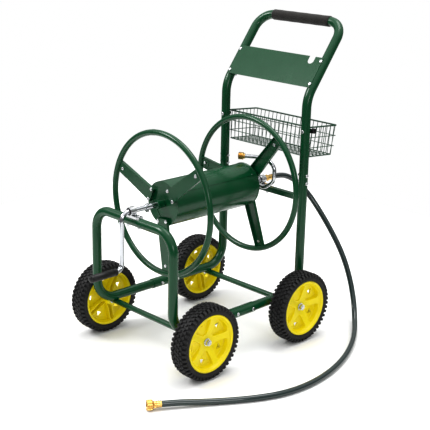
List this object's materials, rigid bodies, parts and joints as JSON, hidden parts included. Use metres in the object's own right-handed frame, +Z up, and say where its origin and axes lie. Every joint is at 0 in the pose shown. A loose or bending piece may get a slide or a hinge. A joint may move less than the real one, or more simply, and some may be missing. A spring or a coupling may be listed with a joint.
{
  "type": "garden hose reel cart",
  "caption": "Tubular steel cart on knobbly wheels with a hand-cranked drum for garden hose, a wire basket, a raked push handle and a leader hose.",
  "frame": {"origin": "on the ground under the middle of the cart's length and width, leaving out the leader hose", "axes": "+Z up, -Y towards the crank end, +Y towards the push handle, +X to the right seen from the crank end"},
  "size_m": [0.8407, 1.0665, 1.1065],
  "materials": {
    "green_powder_coat": "gloss powder coat",
    "green_wire": "gloss powder coat on welded wire",
    "foam": "matt closed-cell foam",
    "zinc_steel": "bright zinc plate",
    "chrome": "polished",
    "black_plastic": "moulded, satin",
    "brass": "machined",
    "hose_rubber": "smooth satin",
    "tyre_rubber": "matt moulded",
    "yellow_plastic": "moulded, gloss"
  },
  "bodies": {
    "cart_frame": {"front_frame": "green_powder_coat", "rear_frame_left": "green_powder_coat", "rear_frame_right": "green_powder_coat", "reel_support_bar": "green_powder_coat", "push_handle": "green_powder_coat", "tool_plate": "green_powder_coat", "front_axle_tube": "green_powder_coat", "rear_axle_tube": "green_powder_coat", "basket": "green_wire", "foam_grip": "foam", "front_axle": "zinc_steel", "rear_axle": "zinc_steel", "axle_washers": "zinc_steel", "axle_nuts": "zinc_steel", "rail_bolts": "zinc_steel", "handle_bolts": "zinc_steel", "plate_bolts": "zinc_steel", "bearing_bolts": "zinc_steel", "basket_bolts": "zinc_steel", "front_bearing": "zinc_steel", "rear_bearing": "zinc_steel", "front_bush": "black_plastic", "rear_bush": "black_plastic", "basket_clips": "black_plastic", "inlet_fitting": "brass", "hose_ferrule": "brass", "leader_hose": "hose_rubber"},
    "reel": {"front_ring": "green_powder_coat", "rear_ring": "green_powder_coat", "front_spoke_1": "green_powder_coat", "front_spoke_2": "green_powder_coat", "front_spoke_3": "green_powder_coat", "rear_spoke_1": "green_powder_coat", "rear_spoke_2": "green_powder_coat", "rear_spoke_3": "green_powder_coat", "drum_panel_1": "green_powder_coat", "drum_panel_2": "green_powder_coat", "drum_panel_3": "green_powder_coat", "front_end_plate": "green_powder_coat", "rear_end_plate": "green_powder_coat", "stub_shaft": "chrome", "crank_arm": "chrome", "crank_bolt": "zinc_steel", "grip_cap": "black_plastic", "front_spoke_bolts": "zinc_steel", "rear_spoke_bolts": "zinc_steel", "water_tube": "chrome", "swan_neck": "chrome", "hose_nipple": "brass"},
    "crank_handle_grip": {"crank_grip": "black_plastic"},
    "wheel_front_left": {"tyre_front_left": "tyre_rubber", "wheel_hub_front_left": "yellow_plastic"},
    "wheel_front_right": {"tyre_front_right": "tyre_rubber", "wheel_hub_front_right": "yellow_plastic"},
    "wheel_rear_left": {"tyre_rear_left": "tyre_rubber", "wheel_hub_rear_left": "yellow_plastic"},
    "wheel_rear_right": {"tyre_rear_right": "tyre_rubber", "wheel_hub_rear_right": "yellow_plastic"},
    "hose_coupling": {"coupling_nut": "brass"}
  },
  "joints": [
    {"name": "reel_spin", "type": "hinge", "parent": "cart_frame", "child": "reel", "pos_m": [0, 0.0087, 0.5219], "axis": [0, -1, 0], "continuous": true},
    {"name": "crank_grip_spin", "type": "hinge", "parent": "reel", "child": "crank_handle_grip", "pos_m": [0, -0.434, 0.3286], "axis": [0, -1, 0], "continuous": true},
    {"name": "wheel_front_left_spin", "type": "hinge", "parent": "cart_frame", "child": "wheel_front_left", "pos_m": [-0.2615, -0.2285, 0.127], "axis": [1, 0, 0], "continuous": true},
    {"name": "wheel_front_right_spin", "type": "hinge", "parent": "cart_frame", "child": "wheel_front_right", "pos_m": [0.2615, -0.2285, 0.127], "axis": [1, 0, 0], "continuous": true},
    {"name": "wheel_rear_left_spin", "type": "hinge", "parent": "cart_frame", "child": "wheel_rear_left", "pos_m": [-0.2615, 0.2235, 0.127], "axis": [1, 0, 0], "continuous": true},
    {"name": "wheel_rear_right_spin", "type": "hinge", "parent": "cart_frame", "child": "wheel_rear_right", "pos_m": [0.2615, 0.2235, 0.127], "axis": [1, 0, 0], "continuous": true},
    {"name": "coupling_nut_spin", "type": "hinge", "parent": "cart_frame", "child": "hose_coupling", "pos_m": [0.31214, -0.50506, 0.017], "axis": [-0.5239, -0.8518, 0], "continuous": true}
  ]
}
